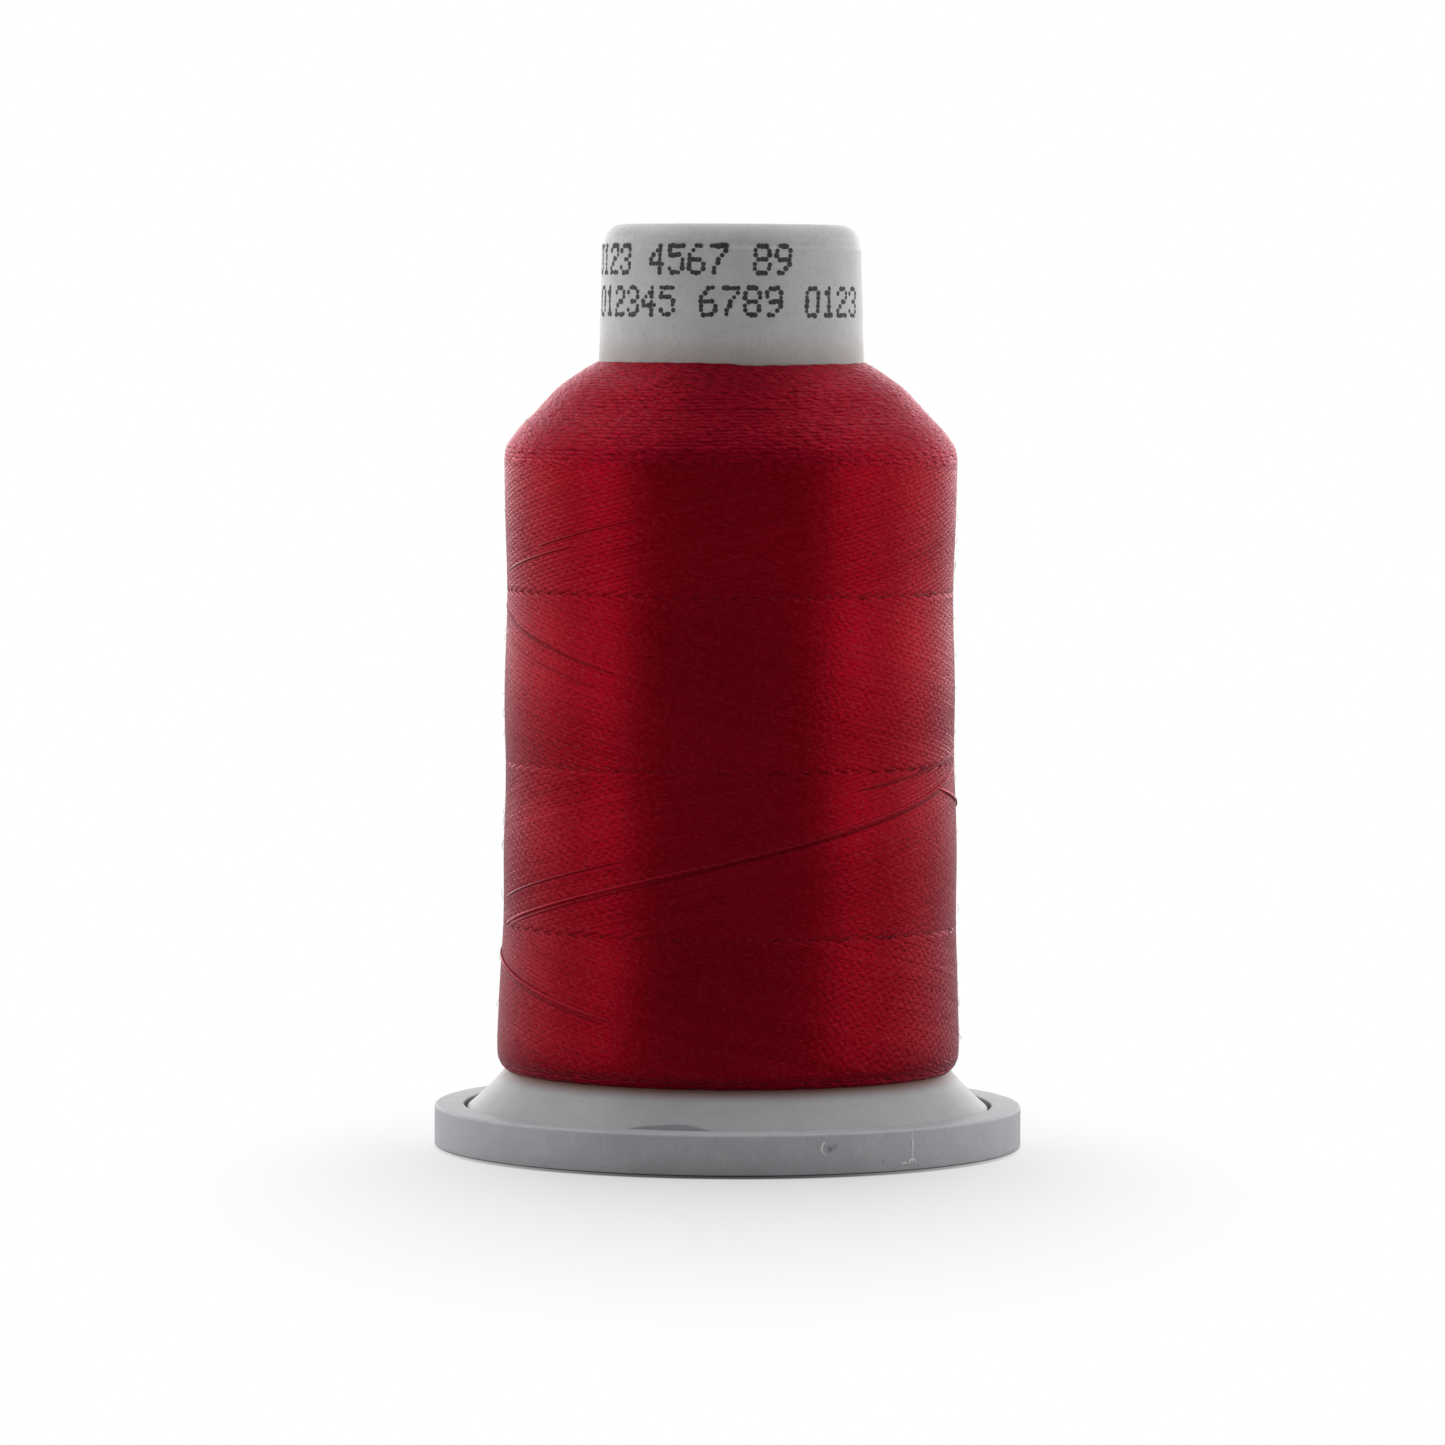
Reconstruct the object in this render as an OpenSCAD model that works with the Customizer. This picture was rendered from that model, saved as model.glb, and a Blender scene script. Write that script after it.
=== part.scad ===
// Spool of embroidery thread: a hollow core with a flared foot, a snap base that
// pulls down to lock the thread's end, and the wound thread.
// Millimetres, +Z up, origin at the centre of the foot, where the spool stands.

/* [Core] */
// Overall height of the spool
spool_h = 84.6; // [75:0.1:100]
// Outside diameter of the barrel just below its top band
barrel_d = 23.8; // [22:0.1:27]
// Draft of the barrel in degrees, widening downwards
barrel_draft = 1.5; // [0.5:0.1:2]
// Wall of the barrel, the flare and the skirt
core_wall = 1.3; // [1:0.1:1.6]
// Height of the top band, above the mould line
band_h = 2.2; // [1.5:0.1:4]
// Inset of the top band from the barrel
band_step = 0.15; // [0.05:0.05:0.3]
// Width of the lip round the top
lip_w = 2.4; // [1.6:0.1:3]
// Rounding of the lip's outer edge
lip_round = 1.8; // [0.3:0.1:2]
// Depth of the well inside the top lip
well_depth = 1.6; // [1:0.1:4]
// Thickness of the web at the bottom of the well
top_web = 1.2; // [0.8:0.1:2]

/* [Flare] */
// Slope of the flare at the skirt, in degrees from the vertical
flare_angle = 50; // [46:1:56]
// How far the top of the skirt lies below the top of the base's rim
skirt_drop = 0.3; // [0.1:0.1:1]
// Number of stiffening ribs inside the core
rib_count = 8; // [6:1:12]
// Thickness of each stiffening rib
rib_w = 0.9; // [0.6:0.1:1.2]
// Height of the ribs above the top of the collet
rib_h = 16; // [14:1:50]
// Width of the fingernail notch at the foot of the flare
notch_w = 6.8; // [4:0.1:10]
// Height of the notch above the rim
notch_h = 0.75; // [0.4:0.05:1.2]
// Depth of the notch into the flare
notch_depth = 0.45; // [0.2:0.05:0.7]
// Direction of the notch, in degrees from -Y towards -X
notch_at = 13; // [0:1:350]

/* [Sleeve and snap] */
// Bore of the sleeve that slips over a spool pin
bore_d = 10; // [8:0.1:11]
// Wall of the sleeve
sleeve_wall = 1.5; // [1.3:0.1:1.8]
// Height of the sleeve's boss above the web in the well
boss_h = 0.8; // [0.2:0.1:1]
// Depth of the groove in the sleeve that the snap bead slides in
groove_depth = 0.6; // [0.4:0.05:0.8]
// Travel of the base from shut to open
snap_travel = 3; // [2:0.1:4]

/* [Base] */
// Diameter of the base
base_d = 54; // [52:0.1:60]
// Width of the base's rim
rim_w = 2.7; // [1.6:0.1:4]
// Height of the base's rim
rim_h = 3.75; // [3.2:0.05:6]
// Gap between the skirt and the rim, which holds the thread's end
lock_gap = 0.3; // [0.2:0.05:0.5]
// Rounding of the rim's outer edges
rim_round = 0.3; // [0.1:0.05:0.6]
// Thickness of the base's floor
floor_t = 1.2; // [0.8:0.1:1.5]
// Height of the floor above what the spool stands on
floor_lift = 1; // [0.5:0.1:1.2]
// Width of the ring that the spool stands on
foot_w = 1.8; // [1:0.1:2.4]
// Extra diameter of the base's hole over the sleeve's bore
hole_extra = 1.2; // [0.4:0.1:1.6]
// Wall of the snap collet
collet_wall = 1.3; // [1:0.1:1.6]
// Height of the collet above the floor
collet_h = 9.8; // [8:0.1:12]
// Height of the snap bead
bead_h = 1.2; // [0.8:0.1:1.6]
// Number of slits that let the collet flex
slit_count = 4; // [3:1:6]
// Width of each slit
slit_w = 1; // [0.6:0.1:1.6]
// Number of ribs under the floor
under_rib_count = 8; // [4:1:12]

/* [Thread] */
// Diameter of the winding at its shoulder
wind_d = 41.6; // [34:0.1:44]
// Diameter of the winding at its foot
wind_foot_d = 42.6; // [36:0.1:45]
// How far the winding draws in between its foot and its shoulder
wind_waist = 0.25; // [0:0.05:0.6]
// Bare neck above the winding
neck_show = 12.9; // [8:0.1:20]
// Height of the sloping shoulder
shoulder_h = 9.7; // [6:0.1:14]
// How far the winding's lowest turn stands off the flare
foot_gap = 0.7; // [0.6:0.05:1.2]
// Rounding of the winding's foot
wind_round = 1.8; // [1:0.1:2.5]
// How far the outer layer wraps under that rounding, in degrees
foot_wrap = 35; // [20:1:45]
// Diameter of the thread
thread_d = 0.35; // [0.25:0.05:0.6]
// Number of turns in the outer layer
turns = 24; // [12:1:24]

/* [Hidden] */
$fn = 96;

core_colour = [0.66, 0.67, 0.68];
base_colour = [0.6, 0.61, 0.63];
thread_colour = [0.55, 0.02, 0.11];

slide_clear = 0.1;    // between the sleeve and the collet, and the groove and the bead
stop_clear = 0.1;     // between the bead and the ends of its groove
rib_clear = 0.4;      // between the ribs and the collet
floor_clear = 1;      // between the floor and what hangs over it
wind_clear = 0.05;    // between the core and the thread, and between its layers
lip_edge = 0.3;       // chamfer inside the lip
cut = 1;              // how far a cutting shape runs past what it cuts

base_r = base_d / 2;
rim_in = base_r - rim_w;
skirt_r = rim_in - lock_gap;
bore_r = bore_d / 2;
floor_top = floor_lift + floor_t;
skirt_top = rim_h - skirt_drop;
sleeve_r = bore_r + sleeve_wall;
sleeve_foot = floor_top + floor_clear;
web_top = spool_h - well_depth;
collet_in = sleeve_r + slide_clear;
collet_out = collet_in + collet_wall;
collet_top = floor_top + collet_h;
groove_r = sleeve_r - groove_depth;
bead_r = groove_r + slide_clear;
bead_top = collet_top - bead_h;
bead_foot = bead_top - bead_h;
groove_top = bead_top + stop_clear;
groove_foot = bead_foot - snap_travel - stop_clear;

// Barrel: a straight cone that meets the flare's arc on a tangent
band_foot = spool_h - band_h;
draft_slope = tan(barrel_draft);
function barrel_r(z) = barrel_d / 2 + draft_slope * (band_foot - z);
flare_r = (skirt_r - barrel_r(skirt_top)) / (1 / cos(barrel_draft) - cos(flare_angle)
    - draft_slope * sin(flare_angle));
flare_centre = [skirt_r, skirt_top] + flare_r * [cos(flare_angle), sin(flare_angle)];
flare_steps = 24;

// Points on an arc about c, n steps from angle a0 to a1
function arc(c, r, a0, a1, n) = [for (i = [0:n]) let (a = a0 + (a1 - a0) * i / n)
    c + r * [cos(a), sin(a)]];

// Barrel and flare from the neck down to the skirt, grown outwards by g
function flare_line(g, end_angle) =
    arc(flare_centre, flare_r - g, 180 + barrel_draft, 180 + end_angle, flare_steps);
function barrel_line(top, g, end_angle) =
    concat([[barrel_r(top) + g / cos(barrel_draft), top]], flare_line(g, end_angle));

// Flare angle at which its inner face meets the inside of the skirt
inner_angle = acos((flare_centre.x - skirt_r + core_wall) / (flare_r + core_wall));

module core_shell() {
    lip_r = barrel_d / 2 - band_step;
    lip_in = lip_r - lip_w;
    web_foot = web_top - top_web;
    rotate_extrude() polygon(concat(
        [[lip_in, web_foot], [lip_in, spool_h - lip_edge], [lip_in + lip_edge, spool_h]],
        arc([lip_r - lip_round, spool_h - lip_round], lip_round, 90, 0, 6),
        [[lip_r + band_step / 3, band_foot]],
        barrel_line(band_foot, 0, flare_angle),
        [[skirt_r, floor_top], [skirt_r - core_wall, floor_top]],
        [for (i = [flare_steps:-1:0]) flare_line(-core_wall, inner_angle)[i]],
        [[barrel_r(web_foot) - core_wall, web_foot]]));
}

module sleeve() {
    edge = sleeve_wall / 3;
    web_r = barrel_d / 2 - band_step - lip_w / 2;
    rotate_extrude() polygon([
        [bore_r, sleeve_foot], [sleeve_r - edge, sleeve_foot], [sleeve_r, sleeve_foot + edge],
        [sleeve_r, groove_foot], [groove_r, groove_foot],
        [groove_r, groove_top], [sleeve_r, groove_top],
        [sleeve_r, web_top - top_web], [web_r, web_top - top_web],
        [web_r, web_top], [sleeve_r, web_top],
        [sleeve_r, web_top + boss_h], [bore_r, web_top + boss_h]]);
}

// Ribs that tie the flare and the lower barrel to the sleeve, clear of the collet
module core_ribs() {
    rib_foot = sleeve_foot + skirt_drop;
    rib_top = collet_top + rib_h;
    rib_in = sleeve_r - sleeve_wall / 2;
    skin = flare_line(-core_wall / 2, inner_angle);
    for (i = [0:rib_count - 1]) rotate(360 / rib_count * i)
        rotate([90, 0, 0]) translate([0, 0, -rib_w / 2]) linear_extrude(rib_w) polygon(concat(
            [[rib_in, collet_top + rib_clear], [rib_in, rib_top],
             [barrel_r(rib_top) - core_wall / 2, rib_top]],
            [for (k = [0:4:flare_steps]) if (skin[k].y < rib_top) skin[k]],
            [[skirt_r - core_wall / 2, rib_foot], [collet_out + rib_clear, rib_foot],
             [collet_out + rib_clear, collet_top + rib_clear]]));
}

// A round-topped nick in the outer face of the flare, just above the rim
module notch() {
    notch_r = (pow(notch_w / 2, 2) + pow(notch_h, 2)) / (2 * notch_h);
    rotate(-notch_at) intersection() {
        translate([0, 0, rim_h + notch_h - notch_r])
            rotate([90, 0, 0]) cylinder(r = notch_r, h = skirt_r + cut);
        rotate_extrude() polygon(concat(
            flare_line(-notch_depth, flare_angle),
            [[skirt_r - notch_depth, skirt_top - cut / 2], [skirt_r + cut, skirt_top - cut / 2],
             [skirt_r + cut, flare_centre.y]]));
    }
}

module spool_core() {
    color(core_colour) difference() {
        union() {
            core_shell();
            sleeve();
            core_ribs();
        }
        notch();
    }
}

module base_disc() {
    rotate_extrude() polygon(concat(
        [[bore_r + hole_extra / 2, floor_lift], [base_r - foot_w, floor_lift],
         [base_r - foot_w, 0]],
        arc([base_r - rim_round, rim_round], rim_round, -90, 0, 4),
        arc([base_r - rim_round, rim_h - rim_round], rim_round, 0, 90, 4),
        [[rim_in + rim_round / 2, rim_h], [rim_in, rim_h - rim_round / 2],
         [rim_in, floor_top], [bore_r + hole_extra / 2, floor_top]]));
}

module collet() {
    lead = (collet_in - bead_r);
    difference() {
        rotate_extrude() polygon([
            [collet_in, floor_top - floor_t / 2], [collet_out, floor_top - floor_t / 2],
            [collet_out, collet_top], [collet_in, collet_top],
            [collet_in, bead_top], [bead_r, bead_top - lead],
            [bead_r, bead_foot], [collet_in, bead_foot]]);
        for (i = [0:slit_count - 1]) rotate(360 / slit_count * (i + 0.5))
            translate([0, -slit_w / 2, floor_top + collet_wall])
                cube([collet_out + cut, slit_w, collet_h]);
    }
}

module under_ribs() {
    drop = floor_lift * 0.8;
    hub_r = bore_r + hole_extra / 2;
    rotate_extrude() polygon([[hub_r, floor_lift - drop], [hub_r + collet_wall, floor_lift - drop],
        [hub_r + collet_wall, floor_lift + floor_t / 2], [hub_r, floor_lift + floor_t / 2]]);
    for (i = [0:under_rib_count - 1]) rotate(360 / under_rib_count * i)
        translate([hub_r + collet_wall / 2, -rib_w / 2, floor_lift - drop])
            cube([base_r - foot_w / 2 - hub_r - collet_wall / 2, rib_w, drop + floor_t / 2]);
}

module snap_base() {
    color(base_colour) {
        base_disc();
        collet();
        under_ribs();
    }
}

// Outline of the winding, from its foot up to the neck
neck_z = spool_h - neck_show;
wind_top = neck_z - shoulder_h;
wind_r = wind_d / 2;
wind_foot_r = wind_foot_d / 2;
lowest_r = wind_foot_r - wind_round * (1 - cos(foot_wrap));
side_foot = flare_centre.y + wind_round * sin(foot_wrap)
    - sqrt(pow(flare_r - foot_gap, 2) - pow(flare_centre.x - lowest_r, 2));
function bezier(p, t) = pow(1 - t, 3) * p[0] + 3 * t * pow(1 - t, 2) * p[1]
    + 3 * t * t * (1 - t) * p[2] + pow(t, 3) * p[3];
shoulder = let (neck_r = barrel_r(neck_z) + wind_clear + 2 * thread_d, w = wind_r - neck_r) [
    [wind_r, wind_top], [wind_r, wind_top + 0.25 * shoulder_h],
    [neck_r + 0.38 * w, wind_top + 0.8 * shoulder_h], [neck_r, neck_z]];
side = [for (i = [0:8]) let (u = i / 8)
    [wind_foot_r + (wind_r - wind_foot_r) * u - wind_waist * sin(180 * u),
     side_foot + (wind_top - side_foot) * u]];
outline = concat(
    arc([wind_foot_r - wind_round, side_foot], wind_round, -foot_wrap, -foot_wrap / 5, 3),
    side,
    [for (i = [1:10]) bezier(shoulder, i / 10)]);

// Unit normals of a line of points, pointing away from the axis
function normal_at(p, i) = let (
    a = p[max(i - 1, 0)], b = p[min(i + 1, len(p) - 1)], d = (b - a) / norm(b - a))
    [d.y, -d.x];
function inset(p, d) = [for (i = [0:len(p) - 1]) p[i] - d * normal_at(p, i)];

// The outer layer's tube is straight between its rings, so it dips by chord_dip
loop_rings = 24;
tube_sides = 6;
chord_dip = wind_foot_r * (1 - cos(180 / loop_rings));
package_line = inset(outline, thread_d + chord_dip + wind_clear);

module thread_package() {
    top = package_line[len(package_line) - 1];
    foot = [package_line[0].x, skirt_top];
    color(thread_colour) difference() {
        rotate_extrude() polygon(concat(
            [[0, foot.y], foot], package_line, [[0, top.y]]));
        rotate_extrude() polygon(concat(
            [[0, spool_h]], [[barrel_r(spool_h) + wind_clear, spool_h]],
            barrel_line(band_foot, wind_clear, flare_angle), [[skirt_r, 0], [0, 0]]));
    }
}

// Outer layer: one tube wound in even turns from the foot to the neck
tube_line = inset(outline, thread_d / 2);
run = [for (i = 0, s = 0; i < len(tube_line);
    s = s + (i + 1 < len(tube_line) ? norm(tube_line[i + 1] - tube_line[i]) : 0), i = i + 1) s];
run_length = run[len(run) - 1];
function span_at(s) = max([for (i = [0:len(run) - 2]) if (run[i] <= s) i]);
function on_line(s) = let (i = span_at(s), f = (s - run[i]) / (run[i + 1] - run[i]))
    concat(tube_line[i] + f * (tube_line[i + 1] - tube_line[i]),
        (1 - f) * normal_at(tube_line, i) + f * normal_at(tube_line, i + 1));
ring_count = turns * loop_rings;
rings = [for (k = [0:ring_count]) concat(on_line(run_length * k / ring_count),
    360 * k / loop_rings)];
function on_tube(ring, across, out, along) = let (
    n = [ring[2], ring[3]] / norm([ring[2], ring[3]]),
    r = ring[0] + out * n.x - across * n.y, z = ring[1] + out * n.y + across * n.x)
    [r * cos(ring[4]) - along * sin(ring[4]), r * sin(ring[4]) + along * cos(ring[4]), z];
section = [for (j = [0:tube_sides - 1]) let (a = 360 / tube_sides * j)
    thread_d / 2 * [sin(a), cos(a)]];

// Each end turns square to the winding and runs straight down onto it
sink = thread_d / 2 + chord_dip + wind_clear * 0.9;
first = rings[0];
last = rings[ring_count];
tube_points = concat(
    [for (p = section) on_tube(first, p.x, -sink, -p.y)],
    [for (p = section) on_tube(first, p.x, p.y, -p.y)],
    [for (k = [1:ring_count - 1], p = section) on_tube(rings[k], p.x, p.y, 0)],
    [for (p = section) on_tube(last, p.x, p.y, p.y)],
    [for (p = section) on_tube(last, p.x, -sink, p.y)]);
function tube_faces(count, sides) = concat(
    [[for (j = [sides - 1:-1:0]) j]],
    [for (k = [0:count - 1], j = [0:sides - 1]) each let (
        a = k * sides + j, b = k * sides + (j + 1) % sides)
        [[a, b + sides, a + sides], [a, b, b + sides]]],
    [[for (j = [0:sides - 1]) count * sides + j]]);

// Least gap between neighbouring turns, measured from ring to ring
centres = [for (ring = rings) on_tube(ring, 0, 0, 0)];
least_gap = min([for (k = [0:ring_count - loop_rings], s = [-1:1])
    norm(centres[min(k + loop_rings + s, ring_count)] - centres[k])]) - thread_d;
echo(least_gap_of_outer_layer_mm = least_gap, turns = turns);

module thread_outer_layer() {
    color(thread_colour * 0.85) polyhedron(tube_points, tube_faces(ring_count + 2, tube_sides), 4);
}

spool_core();
snap_base();
thread_package();
thread_outer_layer();
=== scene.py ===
import math
import random
import bpy
import bmesh
import numpy as np
from mathutils import Matrix, Vector


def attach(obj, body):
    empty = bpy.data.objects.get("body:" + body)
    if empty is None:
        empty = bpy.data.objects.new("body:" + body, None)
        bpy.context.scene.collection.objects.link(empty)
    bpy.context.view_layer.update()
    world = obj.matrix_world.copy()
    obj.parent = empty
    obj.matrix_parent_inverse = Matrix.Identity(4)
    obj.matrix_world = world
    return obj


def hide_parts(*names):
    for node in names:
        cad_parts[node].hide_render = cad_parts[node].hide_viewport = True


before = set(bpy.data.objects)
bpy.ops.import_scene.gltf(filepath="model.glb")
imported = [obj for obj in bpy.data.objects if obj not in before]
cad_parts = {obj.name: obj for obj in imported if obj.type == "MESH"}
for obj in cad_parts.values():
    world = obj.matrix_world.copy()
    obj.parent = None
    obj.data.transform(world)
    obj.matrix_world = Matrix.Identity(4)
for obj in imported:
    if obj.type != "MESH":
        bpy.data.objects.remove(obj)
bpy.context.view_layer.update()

mm = 0.001
scene = bpy.context.scene
scene.view_settings.view_transform = "Standard"


# shader helpers

class Wire:  # one socket, so that shader maths reads as a plain expression
    def __init__(self, shader, socket):
        self.shader = shader
        self.socket = socket

    def maths(self, operation, other=None, swapped=False):
        values = {0: self} if other is None else {0: self, 1: other}
        if swapped:
            values = {0: other, 1: self}
        return self.shader.node("ShaderNodeMath", {"operation": operation}, values)

    def __add__(self, other):
        return self.maths("ADD", other)

    def __radd__(self, other):
        return self.maths("ADD", other)

    def __sub__(self, other):
        return self.maths("SUBTRACT", other)

    def __rsub__(self, other):
        return self.maths("SUBTRACT", other, swapped=True)

    def __mul__(self, other):
        return self.maths("MULTIPLY", other)

    def __rmul__(self, other):
        return self.maths("MULTIPLY", other)

    def __truediv__(self, other):
        return self.maths("DIVIDE", other)

    def __pow__(self, other):
        return self.maths("POWER", other)

    def fract(self):
        return self.maths("FRACT")

    def most(self, other):
        return self.maths("MAXIMUM", other)

    def ramp(self, low, high):  # 0 below low, 1 above high, smooth between
        sockets = {"Value": self, "From Min": low, "From Max": high}
        return self.shader.node("ShaderNodeMapRange", {"interpolation_type": "SMOOTHSTEP"}, sockets)


class Shader:
    def __init__(self, name, tree=None):
        self.material = None
        if tree is None:
            self.material = bpy.data.materials.new(name)
            self.material.use_nodes = True
            tree = self.material.node_tree
        self.tree = tree
        self.tree.nodes.clear()

    def node(self, kind, settings=None, sockets=None, output=0):  # settings first, then sockets
        made = self.tree.nodes.new(kind)
        for key, value in (settings or {}).items():
            setattr(made, key, value)
        for key, value in (sockets or {}).items():
            if isinstance(value, Wire):
                self.tree.links.new(value.socket, made.inputs[key])
            else:
                made.inputs[key].default_value = value
        return Wire(self, made.outputs[output])

    def place(self):  # Object coordinates, in metres
        return self.node("ShaderNodeTexCoord", output=3)

    def mapped(self, vector, scale, turned=(0, 0, 0), moved=(0, 0, 0)):
        return self.node("ShaderNodeMapping", {}, {"Vector": vector, "Scale": scale, "Rotation": turned,
                                                   "Location": moved})

    def axis(self, vector, index):  # one number of a vector
        return self.node("ShaderNodeSeparateXYZ", {}, {"Vector": vector}, index)

    def distance(self, vector, spot=(0, 0, 0)):
        return self.node("ShaderNodeVectorMath", {"operation": "DISTANCE"}, {0: vector, 1: spot}, 1)

    def mixColour(self, factor, first, second, blend="MIX"):
        settings = {"data_type": "RGBA", "blend_type": blend}
        return self.node("ShaderNodeMix", settings, {0: factor, 6: first, 7: second}, 2)

    def noise(self, place, scale, detail=2.0, rough=0.5):
        return self.node("ShaderNodeTexNoise", {}, {"Vector": place, "Scale": scale, "Detail": detail,
                                                    "Roughness": rough})

    def bump(self, height, distance):
        return self.node("ShaderNodeBump", {}, {"Height": height, "Distance": distance})

    def finish(self, surface, target="ShaderNodeOutputMaterial"):
        self.tree.links.new(surface.socket, self.tree.nodes.new(target).inputs["Surface"])
        return self.material


def colour(r, g, b):
    return (r, g, b, 1.0)


def greyOf(value):
    return colour(value, value, value)


# thread: two plies laid round each other, with a silky grain

threadLook = {
    # pale is a painted highlight on raised strands and fuzz, and dark a painted shadow, for strands given a
    # tone
    "deep": colour(0.18, 0.0002, 0.0038), "mid": colour(0.27, 0.0004, 0.009),
    "pale": colour(0.42, 0.02, 0.04), "dark": colour(0.03, 0.0, 0.001),
    "lay": 0.85, "drift": 1.5,  # mm for each turn of the plies, and how unevenly they turn
    "plyShade": 0.2, "grain": 0.8, "patch": 0.6, "level": 0.6,  # painted shade in the grooves between plies and painted highlight on their crests, and what grain and patches do to the colour
    "driftScale": 0.9, "grainScale": 1700.0, "patchScale": 130.0, "squash": 2.0,
    "plies": 0.4, "relief": 0.018,  # share of the plies in the relief, and its height in mm
    "roughness": 0.33, "uneven": 0.5, "metallic": 0.7, "anisotropy": 0.2, "gloss": 0.1,
    "edge": colour(1.0, 0.68, 0.74),
    "glint": 0.5, "glintFrom": (0.48, 0.66), "coatIor": 1.22, "coatRough": 0.3,
    "sheen": 0.11, "sheenRough": 0.24, "sheenTint": colour(1.0, 0.75, 0.78),
    "paintedFalloffFrom": (14, 62), "paintedFalloff": (0.93, 1.06)}  # heights in mm, and the brightness at each: painted shade low down, painted light high up

looseLook = {
    **threadLook, "deep": colour(0.13, 0.0002, 0.004), "mid": colour(0.275, 0.0006, 0.012),
    "lay": 1.5, "plyShade": 0.5, "squash": 3.4, "plies": 0.8, "relief": 0.05, "roughness": 0.42,
    "metallic": 0.66, "edge": colour(1.0, 0.6, 0.68), "sheen": 0.05}


def threadMaterial(name, look):
    s = Shader(name)
    uv = s.node("ShaderNodeUVMap", {"uv_map": "strandUv"})
    tone = s.node("ShaderNodeAttribute", {"attribute_name": "tone"}, {}, 2)
    place = s.place()
    drift = s.noise(uv, look["driftScale"], 1.0)
    turn = (s.axis(uv, 0) * 2 - s.axis(uv, 1) / look["lay"] + drift * look["drift"]).fract()
    ply = 1 - (turn * 2 - 1) ** 2
    grain = s.noise(s.mapped(place, (1.0, 1.0, look["squash"])), look["grainScale"], 3.0, 0.65)
    patch = s.noise(place, look["patchScale"], 3.0)
    # the plies' term paints shade into the grooves between them and highlight on their crests
    level = (ply - 0.6) * look["plyShade"] + (grain - 0.5) * look["grain"] + (patch - 0.5) * look["patch"]
    base = s.mixColour((level + look["level"]).ramp(0.0, 1.0), look["deep"], look["mid"])
    # a pale tone paints a highlight, strongest on the plies' crests; a dark tone paints shadow
    base = s.mixColour(tone.most(0.0) * (0.4 + ply * 0.6), base, look["pale"])
    base = s.mixColour((tone * -1).most(0.0), base, look["dark"])
    rise = s.axis(place, 2).ramp(*(v * mm for v in look["paintedFalloffFrom"]))
    paintedFalloff = s.mixColour(rise, *(greyOf(v) for v in look["paintedFalloff"]))
    base = s.mixColour(1.0, base, paintedFalloff, "MULTIPLY")  # painted shade: the thread darker low down and lighter high up, as light falls from above
    return s.finish(s.node("ShaderNodeBsdfPrincipled", {}, {
        "Base Color": base, "Roughness": look["roughness"] + (grain - 0.5) * look["uneven"],
        "Normal": s.bump(ply * look["plies"] + grain, look["relief"] * mm),
        "Metallic": look["metallic"], "Specular IOR Level": look["gloss"], "Specular Tint": look["edge"],
        "Anisotropic": look["anisotropy"], "Anisotropic Rotation": 0.25,
        "Coat Weight": grain.ramp(*look["glintFrom"]) * ply * look["glint"],
        "Coat IOR": look["coatIor"], "Coat Roughness": look["coatRough"],
        "Sheen Weight": look["sheen"], "Sheen Roughness": look["sheenRough"],
        "Sheen Tint": look["sheenTint"]}))


# plastic: clouded grey with scuffs, and painted shade low down; each ring of painted shade has four heights
# and a depth, each dark spot its angle, height, radius, size and depth

plasticLook = {
    "core": {
        "grey": (0.555, 0.55, 0.543), "foot": 0.75, "roughness": 0.42, "gloss": 0.3,
        "paintedShade": [(5.8, 7.1, 12, 14, 0.92), (68, 69, 71.9, 75, 0.32)],
        "smudgesAndShade": [(-64, 5.2, 24.4, 0.9, 0.5), (66, 5.0, 24.4, 0.9, 0.5)]},
    "base": {
        "grey": (0.482, 0.477, 0.486), "foot": 1.0, "roughness": 0.5, "gloss": 0.4,
        "paintedShade": [(-1.0, -0.5, 0.0, 0.15, 0.8)],
        "smudgesAndShade": [(19.7, 2.3, 27.0, 0.42, 0.7), (20.7, 2.5, 27.0, 0.38, 0.45), (31, 1.0, 27.0, 0.25, 0.5)]}}

plasticGrain = {
    "cloudScale": 90.0, "grainScale": 2600.0, "flowScale": 330.0, "flowSquash": 1.6, "scuffScale": 420.0,
    "scuffWay": (0.3, 0.7, 0.2), "scuffSquash": 9.0, "scuffFrom": (0.60, 0.74), "clouds": (0.9, 1.07),
    "footShadeTint": (0.97, 0.99, 1.03), "footShadeFrom": (7, 24),  # heights in mm between which the painted shade low down fades out
    "scuff": greyOf(0.62), "speck": colour(0.30, 0.30, 0.305), "smudgeAndShade": colour(0.10, 0.10, 0.105),
    # the painted shade's dark brownish red
    "paintedShade": colour(0.16, 0.055, 0.035), "relief": 0.009}


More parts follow.
